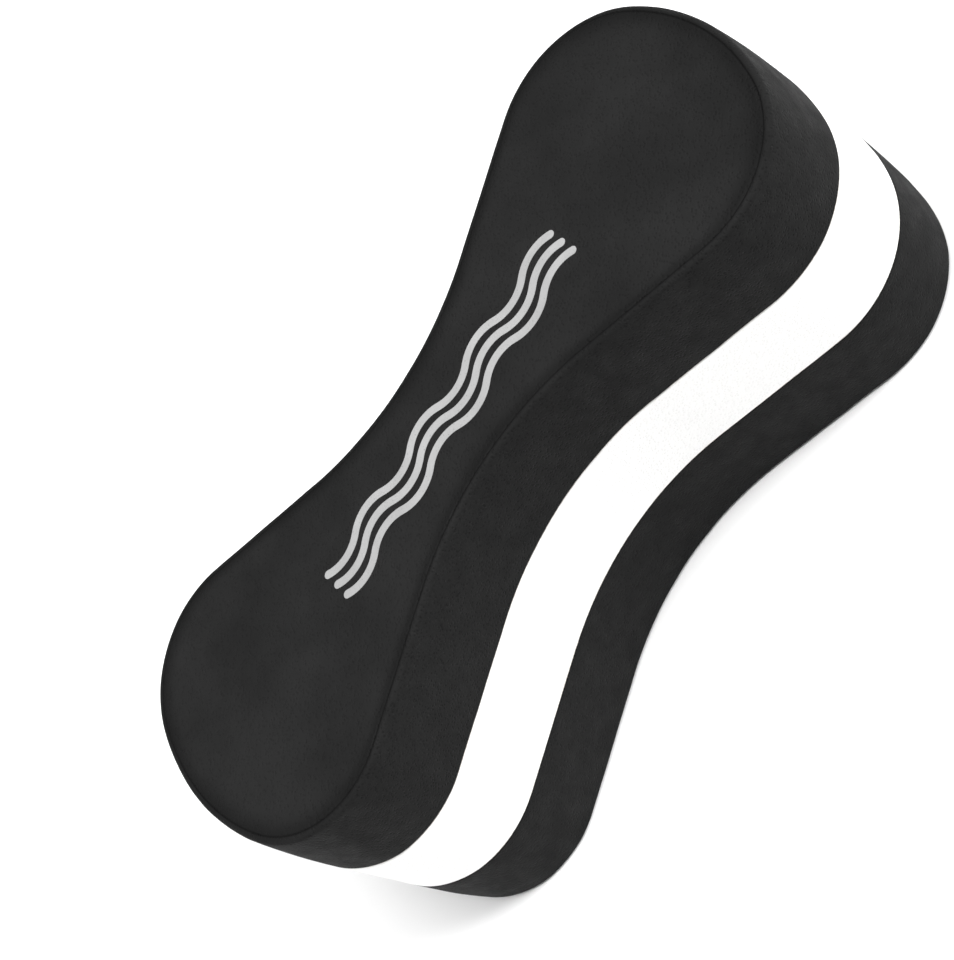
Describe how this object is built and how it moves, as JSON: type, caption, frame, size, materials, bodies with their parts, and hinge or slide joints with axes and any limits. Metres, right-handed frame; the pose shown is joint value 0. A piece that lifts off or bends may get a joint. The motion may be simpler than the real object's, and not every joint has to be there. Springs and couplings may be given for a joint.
{
  "type": "pull buoy",
  "caption": "Figure-of-eight laminated foam swimming float that is held between the thighs for leg-free training.",
  "frame": {"origin": "centre of the flat rear face", "axes": "+Z through the thickness, out of the printed face; +Y along the length; +X across the waist"},
  "size_m": [0.0924, 0.24, 0.0905],
  "materials": {
    "black_foam": "matte closed-cell foam",
    "white_foam": "matte closed-cell foam",
    "bond": "satin dried contact adhesive",
    "print": "matte screen-printed ink"
  },
  "bodies": {
    "root": {"front_foam_slab": "black_foam", "front_bond_film": "bond", "middle_foam_slab": "white_foam", "rear_bond_film": "bond", "rear_foam_slab": "black_foam", "wave_print_left": "print", "wave_print_middle": "print", "wave_print_right": "print"}
  },
  "joints": []
}
